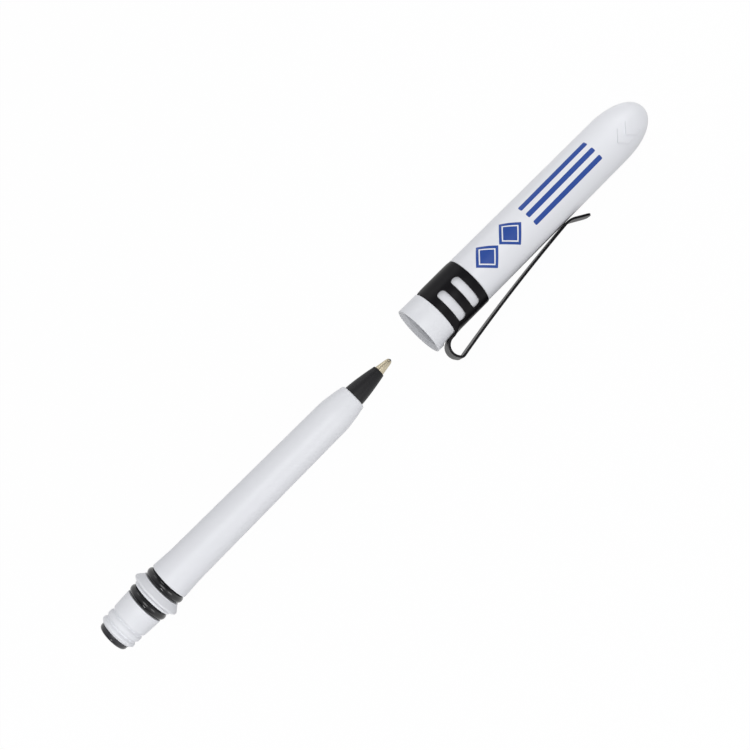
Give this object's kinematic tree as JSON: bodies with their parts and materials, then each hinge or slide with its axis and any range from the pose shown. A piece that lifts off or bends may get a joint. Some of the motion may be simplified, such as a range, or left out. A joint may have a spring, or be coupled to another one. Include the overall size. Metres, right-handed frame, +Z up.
{
  "type": "pocket pen",
  "caption": "Short ballpoint pocket pen lying open: tapered white barrel with a ridged collar between rubber rings, and its domed cap with a black sheet steel clip.",
  "frame": {"origin": "centre of the flat rear face of the end plug, on the axis of the pen", "axes": "+X along the pen from its tail past the tip to the dome of the cap, +Z up with the pen lying down, and the clip towards -Y and a little down"},
  "size_m": [0.1698, 0.0182, 0.0128],
  "materials": {
    "white_plastic": "satin",
    "black_plastic": "satin",
    "black_rubber": "matte",
    "tip_brass": "gloss",
    "ball_steel": "polished",
    "clear_plastic": "satin",
    "ink": "satin",
    "grease": "satin",
    "black_steel": "satin"
  },
  "bodies": {
    "barrel": {"barrel": "white_plastic", "rear_o_ring": "black_rubber", "front_o_ring": "black_rubber", "end_plug": "black_plastic", "refill_nose": "black_plastic", "tip_socket": "tip_brass", "ink_tube": "clear_plastic", "ink_column": "ink", "grease_follower": "grease"},
    "ball": {"writing_ball": "ball_steel"},
    "cap": {"cap": "white_plastic", "clip_band": "black_steel"},
    "clip_arm": {"clip_arm": "black_steel"}
  },
  "joints": [
    {"name": "ball_roll", "type": "hinge", "parent": "barrel", "child": "ball", "pos_m": [0.08567, 0, 0], "axis": [0, 1, 0], "continuous": true},
    {"name": "cap_slide", "type": "slide", "parent": "barrel", "child": "cap", "axis": [1, 0, 0], "range_m": [-0.0812, 0]},
    {"name": "clip_flex", "type": "hinge", "parent": "cap", "child": "clip_arm", "pos_m": [0.0983, -0.00831, -0.0025], "axis": [0, 0.2882, -0.9576], "range_deg": [0, 6], "stiffness_Nm_per_rad": 1.2, "springref_deg": -1.15}
  ]
}
